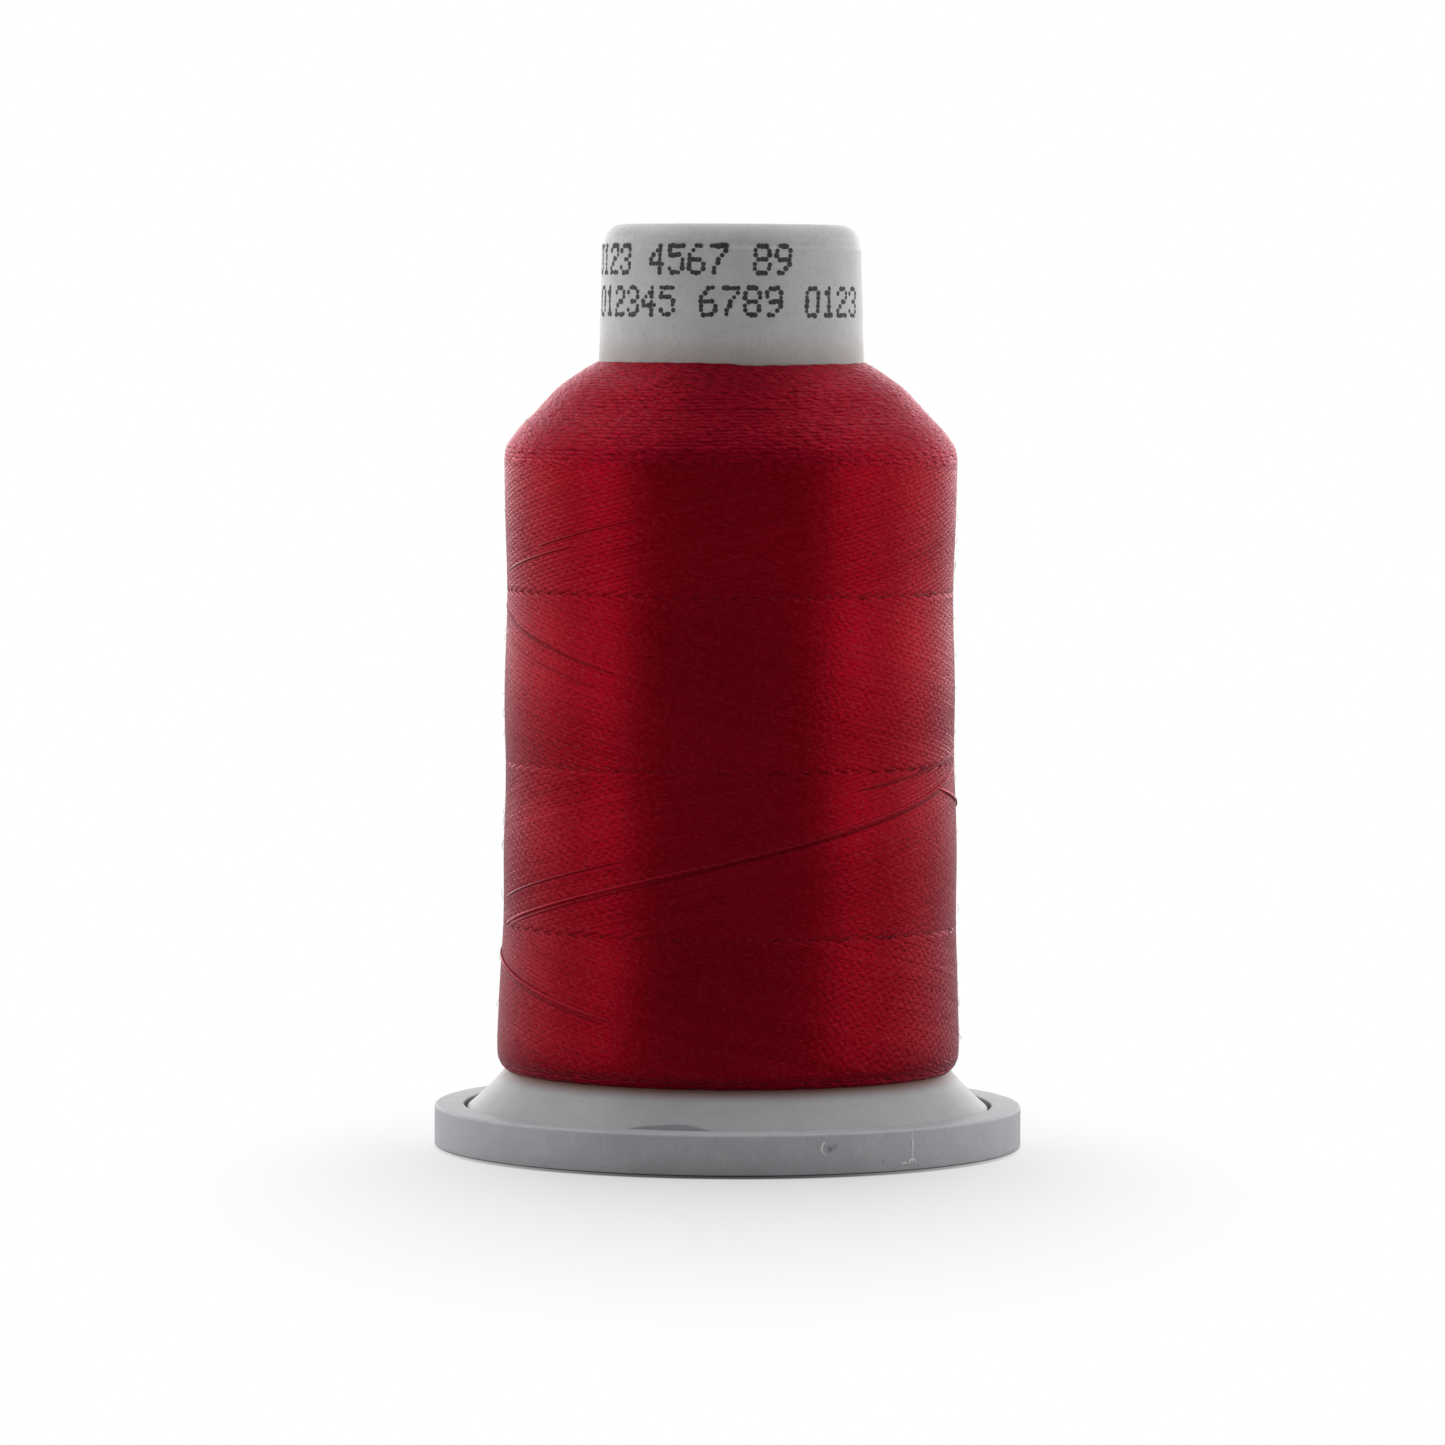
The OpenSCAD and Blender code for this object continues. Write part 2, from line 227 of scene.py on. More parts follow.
def plasticMaterial(name, look):
    g = plasticGrain
    s = Shader(name)
    place = s.place()
    height = s.axis(place, 2)
    cloud = s.noise(place, g["cloudScale"], 4.0)
    grain = s.noise(place, g["grainScale"], 2.0)
    flow = s.noise(s.mapped(place, (1.0, 1.0, g["flowSquash"])), g["flowScale"], 3.0)
    scuff = s.noise(s.mapped(place, (1.0, g["scuffSquash"], 1.0), g["scuffWay"]), g["scuffScale"], 4.0)
    scuff = scuff.ramp(*g["scuffFrom"])
    darkest, palest = (colour(*(v * share for v in look["grey"])) for share in g["clouds"])
    base = s.mixColour((cloud * 0.6 + flow * 0.4).ramp(0.3, 0.7), darkest, palest)
    base = s.mixColour(scuff * 0.2, base, g["scuff"])
    low = 1 - height.ramp(*(v * mm for v in g["footShadeFrom"]))  # painted shade: the plastic darker and a little bluer low down, under the winding
    footShaded = s.mixColour(1.0, base, colour(*(look["foot"] * v for v in g["footShadeTint"])), "MULTIPLY")
    base = s.mixColour(low, base, footShaded)
    base = s.mixColour((grain - 0.5).most(0.0) * 1.2, base, g["speck"])
    # dark spots: the one by the base's knit line is a speck, while the smear beside the gate and the spots at
    # the core's flare foot are painted shade
    for angle, z, r, size, depth in look["smudgesAndShade"]:
        turn = math.radians(angle)
        away = s.distance(place, (math.sin(turn) * r * mm, -math.cos(turn) * r * mm, z * mm))
        near = 1 - (away + (flow - 0.5) * 0.5 * mm).ramp(0.0, size * mm)
        base = s.mixColour(near * depth, base, g["smudgeAndShade"])
    for foot, full, past, top, depth in look["paintedShade"]:  # painted shade where the plastic meets the thread and where it meets the table, in a dark brownish red
        ring = height.ramp(foot * mm, full * mm) * (1 - height.ramp(past * mm, top * mm))
        base = s.mixColour(ring * depth, base, g["paintedShade"])
    return s.finish(s.node("ShaderNodeBsdfPrincipled", {}, {
        "Base Color": base, "Roughness": look["roughness"] + (cloud - 0.5) * 0.16 + scuff * 0.14,
        "Normal": s.bump(grain * 0.6 + flow * 0.6, g["relief"] * mm), "Specular IOR Level": look["gloss"],
        "Subsurface Weight": 0.12, "Subsurface Radius": (1.0, 0.9, 0.8), "Subsurface Scale": 0.6 * mm}))


# speckled finishes: plastic whitened where it was trimmed, and the print's ink

scarLook = {"scale": 2200.0, "dark": colour(0.6, 0.6, 0.61), "pale": colour(0.9, 0.89, 0.87),
            "roughness": 0.5}
inkLook = {"scale": 3800.0, "dark": colour(0.018, 0.018, 0.022), "pale": colour(0.07, 0.07, 0.078),
           "roughness": 0.55, "sharp": (0.35, 0.75)}


def speckledMaterial(name, look):
    s = Shader(name)
    patchy = s.noise(s.place(), look["scale"], 3.0)
    share = patchy.ramp(*look["sharp"]) if "sharp" in look else patchy
    base = s.mixColour(share, look["dark"], look["pale"])
    rough = look["roughness"] + patchy * 0.2
    return s.finish(s.node("ShaderNodeBsdfPrincipled", {}, {"Base Color": base, "Roughness": rough}))


threadRed = threadMaterial("crimsonThread", threadLook)
threadLoose = threadMaterial("looseThread", looseLook)
coreGrey = plasticMaterial("corePlastic", plasticLook["core"])
baseGrey = plasticMaterial("basePlastic", plasticLook["base"])
inkBlack = speckledMaterial("printInk", inkLook)
scarWhite = speckledMaterial("whitenedPlastic", scarLook)
print("materials ready")


# mesh helpers

def addMesh(name, mesh, material, body, stands=()):
    mesh.materials.append(material)
    mesh.shade_smooth()
    mesh.update()
    piece = bpy.data.objects.new(name, mesh)
    scene.collection.objects.link(piece)
    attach(piece, body)
    if stands:
        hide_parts(*stands)
    return piece


def addObject(name, bm, material, body, stands=()):
    sharpFrom = 38  # degrees
    mesh = bpy.data.meshes.new(name)
    bm.to_mesh(mesh)
    bm.free()
    piece = addMesh(name, mesh, material, body, stands)
    mesh.set_sharp_from_angle(angle=math.radians(sharpFrom))
    return piece


def joinInto(bm, part):
    spare = bpy.data.meshes.new("spare")
    part.to_mesh(spare)
    part.free()
    bm.from_mesh(spare)
    bpy.data.meshes.remove(spare)


def evenNormals(piece):
    weighted = piece.modifiers.new("evenNormals", "WEIGHTED_NORMAL")
    weighted.keep_sharp = True


def arc(centre, radius, start, end, steps):
    turns = [math.radians(start + (end - start) * i / steps) for i in range(steps + 1)]
    return [(centre[0] + radius * math.cos(a), centre[1] + radius * math.sin(a), 0) for a in turns]


def profileFace(bm, outline):  # a flat outline in the XZ plane, its corners rounded by their third value
    corners = [bm.verts.new((r * mm, 0, z * mm)) for r, z, _ in outline]
    bm.faces.new(corners)
    for size in sorted({c[2] for c in outline if c[2]}):
        picked = [v for v, c in zip(corners, outline) if c[2] == size]
        bmesh.ops.bevel(bm, geom=picked, offset=size * mm, affect="VERTICES", segments=4, profile=0.5,
                        material=-1)


def lathe(bm, outline, steps=256, angle=math.tau):
    profileFace(bm, outline)
    bmesh.ops.delete(bm, geom=list(bm.faces), context="FACES_ONLY")
    bmesh.ops.spin(bm, geom=list(bm.verts) + list(bm.edges), cent=(0, 0, 0), axis=(0, 0, 1), angle=angle,
                   steps=steps, use_merge=angle == math.tau)
    bmesh.ops.remove_doubles(bm, verts=list(bm.verts), dist=1e-7)
    if angle != math.tau:
        bmesh.ops.holes_fill(bm, edges=list(bm.edges), sides=0)
    bmesh.ops.recalc_face_normals(bm, faces=list(bm.faces))


def repeatRound(bm, count):  # copies of the whole mesh, set evenly round the axis
    bmesh.ops.spin(bm, geom=list(bm.verts) + list(bm.edges) + list(bm.faces), cent=(0, 0, 0), axis=(0, 0, 1),
                   angle=math.tau * (count - 1) / count, steps=count - 1, use_duplicate=True)


def plates(bm, outline, width, count):  # flat ribs set round the axis
    part = bmesh.new()
    profileFace(part, outline)
    out = bmesh.ops.extrude_face_region(part, geom=list(part.faces))
    moved = [v for v in out["geom"] if isinstance(v, bmesh.types.BMVert)]
    bmesh.ops.translate(part, verts=moved, vec=(0, width * mm, 0))
    bmesh.ops.translate(part, verts=list(part.verts), vec=(0, -width * mm / 2, 0))
    bmesh.ops.recalc_face_normals(part, faces=list(part.faces))
    repeatRound(part, count)
    joinInto(bm, part)


# spool core: neck, barrel, flare, skirt, sleeve and ribs in one moulding; sizes in mm, angles in degrees

core = {"height": 84.6, "barrelR": 11.9, "draft": 1.5, "wall": 1.3, "bandH": 2.2, "bandStep": 0.15,
        "stepUp": [(0.03, 0.12), (0.1, 0.02)],  # out from the lip, and up from the band's foot
        "lipRound": 1.8, "lipW": 2.4, "well": 1.6, "web": 1.2, "boss": 0.8, "skirtR": 24.0, "skirtTop": 3.45,
        "flareAngle": 50, "barrelAt": (76.0, 70.0, 56.0, 42.0, 31.0),
        "boreR": 5.0, "sleeveR": 6.5, "sleeveFoot": 3.2, "grooveR": 5.9, "groove": (6.5, 10.9),
        "ribs": 8, "ribW": 0.9, "ribTop": 28.0, "ribFoot": 3.5, "ribBite": 0.7, "ribGap": 0.4, "foot": 2.2}
snap = {"baseR": 27.0, "rimIn": 24.3, "rimH": 3.75, "floor": (1.0, 2.2), "footW": 1.8, "holeR": 5.6,
        "collet": (6.6, 7.9), "colletTop": 12.0, "colletBite": 0.6,
        "bead": 1.2, "beadR": 6.0, "beadRamp": 0.5,
        "slits": 4, "slitW": 1.0, "hubW": 1.3, "ribs": 8, "ribW": 0.9, "ribFoot": 0.2, "ribBite": 0.4}

draftSlope = math.tan(math.radians(core["draft"]))
bandFoot = core["height"] - core["bandH"]


def barrelR(z):
    return core["barrelR"] + draftSlope * (bandFoot - z)


# the flare is one arc that leaves the drafted barrel on a tangent and ends at the skirt
flareA = math.radians(core["flareAngle"])
flareR = (core["skirtR"] - barrelR(core["skirtTop"])) / (
    1 / math.cos(math.radians(core["draft"])) - math.cos(flareA) - draftSlope * math.sin(flareA))
flareC = (core["skirtR"] + flareR * math.cos(flareA), core["skirtTop"] + flareR * math.sin(flareA))
flareIn = math.degrees(math.acos((flareC[0] - core["skirtR"] + core["wall"]) / (flareR + core["wall"])))

notch = {"cuts": [(15.4, 0.21), (11.2, 0.25)],  # angle from the front, and depth of each cut
         "reach": (20, 9),  # the cuts stay beyond this radius and below this height
         "lean": 0.813, "grey": (0.26, 0.262, 0.27)}
# the facet's darker grey is painted shade in the notch
notchShadeLook = {**plasticLook["core"], "grey": notch["grey"], "foot": 1.0, "smudgesAndShade": []}
notchShadeGrey = plasticMaterial("notchShadePlastic", notchShadeLook)


def cutNotch(bm):  # a flat thumbnail facet on the corner between skirt and flare, in two cuts
    lean, tall = notch["lean"], math.sqrt(1 - notch["lean"] ** 2)
    inner, top = (v * mm for v in notch["reach"])
    for angle, depth in notch["cuts"]:
        turn = math.radians(angle)
        out = Vector((-math.sin(turn), -math.cos(turn), 0))
        facing = out * lean + Vector((0, 0, tall))
        corner = (out * core["skirtR"] + Vector((0, 0, core["skirtTop"]))) * mm
        near = {v for v in bm.verts if v.co.z < top and v.co.xy.dot(out.xy) > inner}
        faces = {f for f in bm.faces if near.issuperset(f.verts)}
        edges = {e for f in faces for e in f.edges}
        verts = {v for f in faces for v in f.verts}
        bmesh.ops.bisect_plane(bm, geom=[*verts, *edges, *faces], dist=1e-7, plane_no=facing,
                               plane_co=corner - facing * depth * mm, clear_outer=True)
        rim = [e for e in bm.edges if e.is_boundary]
        # the new faces take the second slot, whose darker grey is painted shade
        for face in bmesh.ops.holes_fill(bm, edges=rim, sides=0)["faces"]:
            face.material_index = 1
    bmesh.ops.recalc_face_normals(bm, faces=list(bm.faces))


def makeCore():
    c = core
    webTop = c["height"] - c["well"]
    webFoot = webTop - c["web"]
    lipR = c["barrelR"] - c["bandStep"]
    outline = [(lipR - c["lipW"], webTop, 0.2), (lipR - c["lipW"], c["height"], 0.35)]
    outline += arc((lipR - c["lipRound"], c["height"] - c["lipRound"]), c["lipRound"], 90, 0, 12)
    outline += [(lipR + out, bandFoot + up, 0) for out, up in c["stepUp"]]
    outline += [(barrelR(bandFoot) - 0.02, bandFoot - 0.04, 0), (barrelR(bandFoot - 0.2), bandFoot - 0.2, 0)]
    outline += [(barrelR(z), z, 0) for z in c["barrelAt"]]
    outline += arc(flareC, flareR, 180 + c["draft"], 180 + c["flareAngle"], 36)[1:-1]
    outline += [(c["skirtR"], c["skirtTop"], 0.12), (c["skirtR"], c["foot"], 0.1),
                (c["skirtR"] - c["wall"], c["foot"], 0.1)]
    outline += arc(flareC, flareR + c["wall"], 180 + flareIn, 180 + c["draft"], 28)
    outline += [(barrelR(webFoot) - c["wall"], webFoot, 0.3), (c["sleeveR"], webFoot, 0.3),
                (c["sleeveR"], c["groove"][1], 0), (c["grooveR"], c["groove"][1], 0),
                (c["grooveR"], c["groove"][0], 0), (c["sleeveR"], c["groove"][0], 0),
                (c["sleeveR"], c["sleeveFoot"], 0.4), (c["boreR"], c["sleeveFoot"], 0.15),
                (c["boreR"], webTop + c["boss"], 0.2), (c["sleeveR"], webTop + c["boss"], 0.25),
                (c["sleeveR"], webTop, 0.15)]
    bm = bmesh.new()
    lathe(bm, outline)
    cutNotch(bm)
    inner, outer = c["sleeveR"] - c["ribBite"], snap["collet"][1] + c["ribGap"]
    overCollet = snap["colletTop"] + c["ribGap"]
    skin = arc(flareC, flareR + c["wall"] / 2, 180 + flareIn, 180 + c["draft"], 12)
    ribs = [(inner, overCollet, 0), (outer, overCollet, 0), (outer, c["ribFoot"], 0),
            (c["skirtR"] - c["wall"] / 2, c["ribFoot"], 0)]
    ribs += [p for p in skin if c["ribFoot"] < p[1] < c["ribTop"]]
    ribs += [(barrelR(c["ribTop"]) - c["wall"] / 2, c["ribTop"], 0), (inner, c["ribTop"], 0)]
    plates(bm, ribs, c["ribW"], c["ribs"])
    piece = addObject("spoolCore", bm, coreGrey, "spool", ["spool_core"])
    piece.data.materials.append(notchShadeGrey)
    evenNormals(piece)


makeCore()
print("core made")


# snap base: rim, floor, foot ring, hub, ribs and the slit collet

def makeBase():
    b = snap
    low, high = b["floor"]
    hubR, footIn = b["holeR"] + b["hubW"], b["baseR"] - b["footW"]
    bm = bmesh.new()
    lathe(bm, [(b["holeR"], b["ribFoot"], 0.12), (hubR, b["ribFoot"], 0.12), (hubR, low, 0.2),
               (footIn, low, 0.2), (footIn, 0, 0.15), (b["baseR"], 0, 0.14),
               (b["baseR"], b["rimH"], 0.28), (b["rimIn"], b["rimH"], 0.14), (b["rimIn"], high, 0.12),
               (b["holeR"], high, 0.12)], steps=320)
    inner, outer = b["collet"]
    beadTop, beadFoot = b["colletTop"] - b["bead"], b["colletTop"] - 2 * b["bead"]
    foot = high - b["colletBite"]
    slit = b["slitW"] / inner
    finger = bmesh.new()
    lathe(finger, [(inner, foot, 0), (outer, foot, 0),
                   (outer, b["colletTop"], 0.25), (inner, b["colletTop"], 0.15),
                   (inner, beadTop, 0), (b["beadR"], beadTop - b["beadRamp"], 0),
                   (b["beadR"], beadFoot, 0), (inner, beadFoot, 0)],
          steps=20, angle=math.tau / b["slits"] - slit)
    bmesh.ops.rotate(finger, verts=list(finger.verts), cent=(0, 0, 0),
                     matrix=Matrix.Rotation(math.tau / b["slits"] / 2 + slit / 2, 3, "Z"))
    repeatRound(finger, b["slits"])
    joinInto(bm, finger)
    hubMiddle, footMiddle = b["holeR"] + b["hubW"] / 2, b["baseR"] - b["footW"] / 2
    ribTop = low + b["ribBite"]
    plates(bm, [(hubMiddle, b["ribFoot"], 0.1), (footMiddle, b["ribFoot"], 0.1),
                (footMiddle, ribTop, 0), (hubMiddle, ribTop, 0)], b["ribW"], b["ribs"])
    evenNormals(addObject("snapBase", bm, baseGrey, "base", ["snap_base"]))


makeBase()
print("base made")


# strands are swept from a straight template, whose rings are one unit apart along X

def straightStrand(rings, sides=8):  # a closed tube, its section a unit circle in YZ
    bm = bmesh.new()
    bmesh.ops.create_circle(bm, segments=sides, radius=1, cap_ends=False)
    bmesh.ops.rotate(bm, verts=list(bm.verts), cent=(0, 0, 0), matrix=Matrix.Rotation(math.pi / 2, 3, "Y"))
    bmesh.ops.spin(bm, geom=list(bm.verts) + list(bm.edges), cent=(0, 0, 0), axis=(1, 0, 0), dvec=(1, 0, 0),
                   angle=0, steps=rings - 1)
    bmesh.ops.holes_fill(bm, edges=list(bm.edges), sides=0)
    bmesh.ops.recalc_face_normals(bm, faces=list(bm.faces))
    uvs = bm.loops.layers.uv.new("strandUv")
    for face in bm.faces:
        turns = [math.atan2(loop.vert.co.z, loop.vert.co.y) / math.tau % 1 for loop in face.loops]
        wraps = max(turns) - min(turns) > 0.5 and len(face.verts) == 4
        for loop, turn in zip(face.loops, turns):
            loop[uvs].uv = (turn + 1 if wraps and turn < 0.5 else turn, loop.vert.co.x)
    mesh = bpy.data.meshes.new("straightStrand")
    bm.to_mesh(mesh)
    bm.free()
    return mesh


def sweep(template, centre, normal, wide, tall):  # places of the template's points along a path
    local = np.empty(len(template.vertices) * 3)
    template.vertices.foreach_get("co", local)
    local = local.reshape(-1, 3)
    ring = np.rint(local[:, 0]).astype(int)
    tangent = np.gradient(centre, axis=0)
    tangent /= np.linalg.norm(tangent, axis=1)[:, None]
    across = np.cross(normal, tangent)
    across /= np.linalg.norm(across, axis=1)[:, None]
    normal = np.cross(tangent, across)
    return (centre[ring] + across[ring] * (local[:, 1] * wide[ring])[:, None]
            + normal[ring] * (local[:, 2] * tall[ring])[:, None])


# thin marks on the rim: a trimmed gate and a pale knit line

rimMarks = [  # angle from the front and height of each point, width, and how far the mark stands out
    {"line": [(18.9, 1.75), (18.2, 2.0), (18.0, 2.4), (18.3, 2.8), (18.8, 3.0)], "wide": 0.10, "tall": 0.06},
    {"line": [(37.6, 0.45), (37.9, 1.0), (37.6, 1.7), (37.9, 2.4), (37.5, 3.0), (37.7, 3.45)],
     "wide": 0.09, "tall": 0.05},
    {"line": [(36.9, 0.55), (37.1, 0.8), (37.6, 1.0), (38.3, 0.9), (38.6, 0.6)], "wide": 0.14, "tall": 0.07},
    {"line": [(35.2, 0.62), (35.8, 0.75), (36.5, 0.62)], "wide": 0.09, "tall": 0.05}]


def makeRimMarks():
    rings = 24
    still = np.zeros(rings)
    ends = np.sin(np.linspace(0.12, math.pi - 0.12, rings)) ** 0.5  # both ends are rounded off
    bm = bmesh.new()
    for mark in rimMarks:
        line = np.array(mark["line"])
        t = np.linspace(0, len(line) - 1, rings)
        angle = np.radians(np.interp(t, np.arange(len(line)), line[:, 0]))
        z = np.interp(t, np.arange(len(line)), line[:, 1])
        out = np.stack([np.sin(angle), -np.cos(angle), still], 1)
        centre = out * snap["baseR"] + np.stack([still, still, z], 1)
        template = straightStrand(rings)
        places = sweep(template, centre, out, mark["wide"] * ends, mark["tall"] * ends) * mm
        template.vertices.foreach_set("co", places.ravel())
        bm.from_mesh(template)
        bpy.data.meshes.remove(template)
    addObject("rimMarks", bm, scarWhite, "base")


makeRimMarks()
print("rim marks made")


# winding: its outline, and strands laid on it

winding = {
    "foot": (19.5, 8.5, 1.8), "footTurn": (-62, -8),  # its arc's centre, radius and angles
    "side": [(21.30, 8.5), (21.24, 12.4), (21.10, 16.0), (20.90, 20.4), (20.90, 27.5), (20.68, 35.4),
             (20.76, 41.0), (20.54, 51.1), (20.76, 58.5), (20.83, 62.3)],
    "shoulder": [(20.83, 63.2), (20.54, 64.25), (20.0, 65.1), (19.1, 66.2), (18.0, 67.3), (17.0, 68.4),
                 (15.95, 69.5), (14.5, 70.6), (13.2, 71.45), (12.33, 71.95)],
    "top": 72.0, "middleR": 20.8, "strandW": 0.30, "strandH": 0.021, "layShift": 40, "toneSpread": 0.06,
    "aside": ((7, 14, 22, 32, 38, 70), (0.0, 0.03, 0.12, 0.12, 0.0, 0.0))}  # heights, and how far off centre


def distanceAlong(places):  # of each point of a line from its start
    return np.concatenate([[0], np.cumsum(np.linalg.norm(np.diff(places, axis=0), axis=1))])


def smoothLine(points, steps):  # a smooth line through (r, z) points that may be unevenly spaced
    pts = np.array(points, float)
    chord = distanceAlong(pts)
    lead = np.gradient(pts, chord, axis=0)
    out = []
    for i, gap in enumerate(np.diff(chord)):
        for t in np.linspace(0, 1, steps, endpoint=False):
            out.append((2 * t ** 3 - 3 * t ** 2 + 1) * pts[i] + (t ** 3 - 2 * t ** 2 + t) * gap * lead[i]
                       + (3 * t ** 2 - 2 * t ** 3) * pts[i + 1] + (t ** 3 - t ** 2) * gap * lead[i + 1])
    return np.array(out + [pts[-1]])


footR, footZ, footRound = winding["foot"]
footArc = [(r, z) for r, z, _ in arc((footR, footZ), footRound, *winding["footTurn"], 8)]
outlineRZ = smoothLine(footArc + winding["side"] + winding["shoulder"], 12)
outlineS = distanceAlong(outlineRZ)
slopes = np.gradient(outlineRZ, outlineS, axis=0)
slopes /= np.linalg.norm(slopes, axis=1)[:, None]


def onOutline(s):  # position and upward tangent at a distance along the outline
    r = np.interp(s, outlineS, outlineRZ[:, 0])
    z = np.interp(s, outlineS, outlineRZ[:, 1])
    tr = np.interp(s, outlineS, slopes[:, 0])
    tz = np.interp(s, outlineS, slopes[:, 1])
    return r, z, tr, tz


def atHeight(z):
    return float(np.interp(z, outlineRZ[:, 1], outlineS))


def waves(rng, x, lengths, size):  # a smooth random wobble along x
    total = np.zeros_like(x)
    for length in lengths:
        total += np.sin(x * math.tau / (length * rng.uniform(0.8, 1.25)) + rng.uniform(0, math.tau))
    return total * size / math.sqrt(len(lengths))


def layStrands(name, paths, seed, stands=(), material=threadRed, sides=8):
    # each path: angles, distances along the outline, lifts off it; all the paths have as many rings
    rng = np.random.default_rng(seed)
    rings = len(paths[0]["angle"])
    template = straightStrand(rings, sides)
    ringOf = np.rint([v.co.x for v in template.vertices]).astype(int)
    bm = bmesh.new()
    for _ in paths:
        bm.from_mesh(template)
    mesh = bpy.data.meshes.new(name)
    bm.to_mesh(mesh)
    bm.free()
    places, tones, runs = [], [], []
    for path in paths:
        a, lift = path["angle"], path["lift"]
        r, z, tr, tz = onOutline(path["along"])
        r = r + lift * tz  # the outward normal is (tz, -tr)
        z = z - lift * tr
        centre = np.stack([r * np.sin(a) + np.interp(z, *winding["aside"]), -r * np.cos(a), z], 1)
        normal = np.stack([tz * np.sin(a), -tz * np.cos(a), -tr], 1)
        wide = winding["strandW"] * path.get("wide", 1.0) * np.ones(rings)
        tall = winding["strandH"] * path["tall"] * np.ones(rings)
        places.append(sweep(template, centre, normal, wide, tall))
        runs.append(distanceAlong(centre) + rng.uniform(0, winding["layShift"]))
        unevenTone = rng.uniform(-winding["toneSpread"], winding["toneSpread"])
        tones.append((np.zeros(rings) + path.get("tone", unevenTone))[ringOf])
    bpy.data.meshes.remove(template)
    mesh.vertices.foreach_set("co", (np.concatenate(places) * mm).ravel())
    uvs = mesh.uv_layers["strandUv"].data
    flat = np.empty(len(uvs) * 2)
    uvs.foreach_get("uv", flat)
    flat = flat.reshape(len(paths), -1, 2)
    for i, run in enumerate(runs):
        flat[i, :, 1] = np.interp(flat[i, :, 1], np.arange(rings), run)
    uvs.foreach_set("uv", flat.ravel())
    tone = mesh.attributes.new("tone", "FLOAT", "POINT")
    tone.data.foreach_set("value", np.concatenate(tones))
    addMesh(name, mesh, material, "spool", stands)


# plain winding under the outer strands

plain = {"insideAt": (71.4, 60.0, 45.0, 31.0), "gap": 0.02, "flareEnd": 39.5, "under": 0.2, "points": 120,
         "steps": 180, "uvScale": (1.25, 130)}  # plies for each mm of height, and mm of lay round the winding


def makeWindingBody():
    inside = [(barrelR(z) + plain["gap"], z, 0) for z in plain["insideAt"]]
    inside += arc(flareC, flareR - plain["gap"], 180 + core["draft"], 180 + plain["flareEnd"], 20)
    r, z, tr, tz = onOutline(np.linspace(0, outlineS[-1], plain["points"]))
    outside = [(rr - plain["under"] * n, zz + plain["under"] * t, 0) for rr, zz, t, n in zip(r, z, tr, tz)]
    bm = bmesh.new()
    lathe(bm, inside + outside, steps=plain["steps"])
    uvs = bm.loops.layers.uv.new("strandUv")
    perMm, perTurn = plain["uvScale"]
    for face in bm.faces:
        turns = [math.atan2(loop.vert.co.y, loop.vert.co.x) / math.tau % 1 for loop in face.loops]
        wraps = max(turns) - min(turns) > 0.5
        for loop, turn in zip(face.loops, turns):
            turn = turn + 1 if wraps and turn < 0.5 else turn
            loop[uvs].uv = (loop.vert.co.z / mm * perMm, turn * perTurn)
    addObject("windingBody", bm, threadRed, "spool", ["thread_package"])


makeWindingBody()
print("winding body made")


# outer strands: four bands that climb one way and then the other

bands = {"heights": (7.6, 20.4, 35.4, 51.1, 65.6), "climb": (-13.0, 13.0, -13.0, 13.0),
         "dive": (0.12, 0.32, 0.32, 0.32, 0.12), "reach": (2.0, 1.2, 1.2, 1.2, 2.2),  # at each height, in mm
         "tall": (0.6, 0.64, 0.76, 0.95), "spacing": 0.395, "past": 0.9, "ringStep": 1.1,
         "startJitter": 0.0015, "wander": 0.014, "sink": 0.06, "waver": 0.002, "jitter": 0.001,
         "seed": 100, "laySeed": 7}


def makeBand(index):
    b = bands
    rng = np.random.default_rng(b["seed"] + index)
    climb = math.radians(b["climb"][index])
    s0, s1 = atHeight(b["heights"][index]) - b["past"], atHeight(b["heights"][index + 1]) + b["past"]
    turned = (s1 - s0) / math.tan(climb) / winding["middleR"]  # angle that a strand turns across the band
    starts = round(math.tau * winding["middleR"] * abs(math.sin(climb)) / b["spacing"])
    rings = int(abs(turned) * winding["middleR"] / b["ringStep"]) + 1
    t = np.linspace(0, 1, rings)
    x = t * abs(turned) * winding["middleR"]
    paths = []
    for i in range(starts):
        first = math.tau * i / starts + rng.uniform(-b["startJitter"], b["startJitter"])
        along = s0 + (s1 - s0) * t + waves(rng, x, (9, 21, 48), b["wander"])
        lift = waves(rng, x, (5, 13, 30), b["waver"]) + rng.normal(0, b["jitter"]) - b["sink"]
        for end, side in ((t, index), (1 - t, index + 1)):
            near = 1 - np.clip(end * (s1 - s0) / b["reach"][side], 0, 1)
            lift = lift - b["dive"][side] * near ** 1.5
        paths.append({"angle": first + turned * t, "along": along, "lift": lift, "tall": b["tall"][index]})
    layStrands(f"threadBand{index + 1}", paths, b["laySeed"] + index)


for index in range(len(bands["climb"])):
    makeBand(index)
print("bands made")


# the dark zigzag where the strands of two bands turn over each other: dark strands laid in the gap as painted
# shade

turnShade = {"heights": bands["heights"][1:-1], "swing": 0.17, "period": 1.1, "step": 0.16,
             "wide": 0.28, "tall": 1.4, "sink": 0.13, "rise": 0.03, "waver": 0.04,
             "tone": 0.12, "clear": 0.6, "clearAt": 1.0, "seed": 11, "laySeed": 29}


